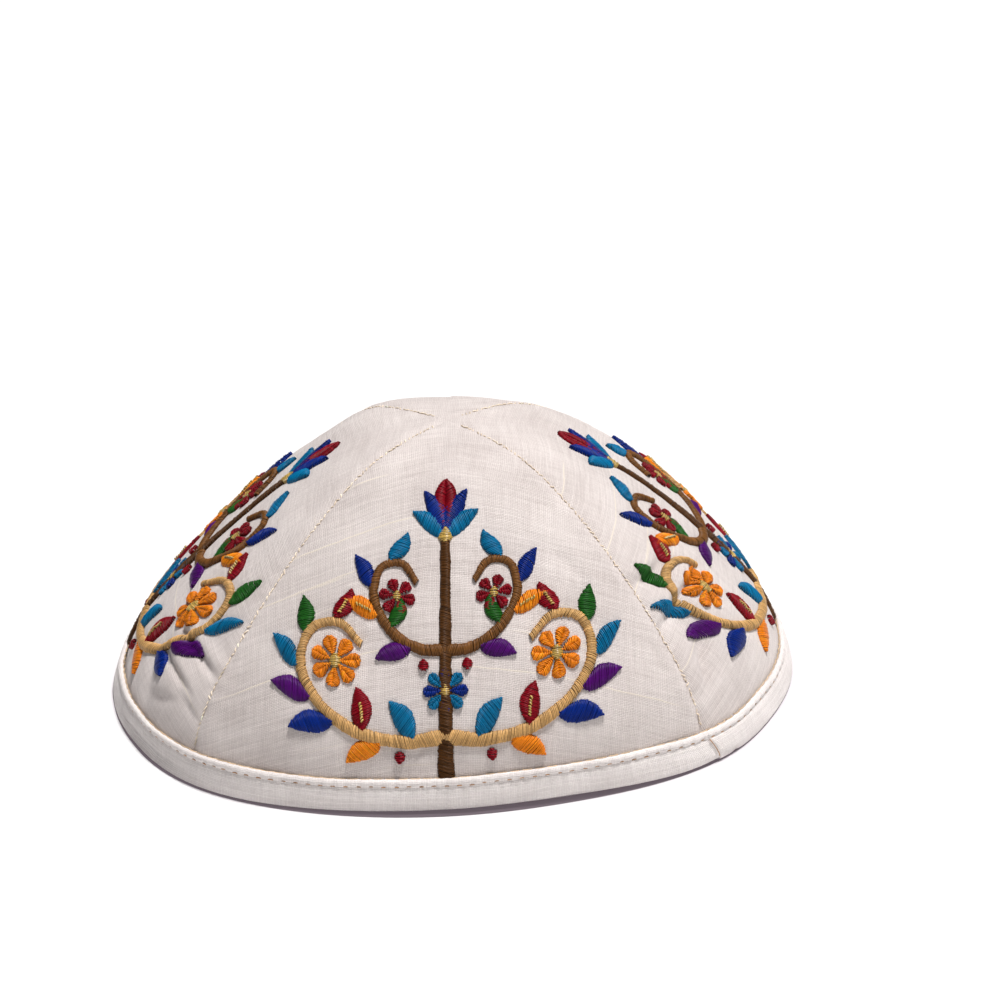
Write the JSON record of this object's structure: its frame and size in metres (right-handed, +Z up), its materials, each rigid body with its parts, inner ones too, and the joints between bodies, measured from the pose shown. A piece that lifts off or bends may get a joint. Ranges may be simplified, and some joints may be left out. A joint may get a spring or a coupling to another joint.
{
  "type": "kippah",
  "caption": "Soft domed cloth skullcap of sewn gore panels that meet at the crown, with a folded binding round its rim.",
  "frame": {"origin": "on the surface that the rim rests on, under the middle of the cap's box", "axes": "+Z up through the crown, -Y towards the front panel, +X to the front panel's right as seen from the front"},
  "size_m": [0.1748, 0.1659, 0.07],
  "materials": {
    "cream_cloth": "plain weave with slubs",
    "binding_cloth": "smooth folded strip"
  },
  "bodies": {
    "root": {"panel_front": "cream_cloth", "panel_right": "cream_cloth", "panel_back": "cream_cloth", "panel_left": "cream_cloth", "rim_binding": "binding_cloth"}
  },
  "joints": []
}
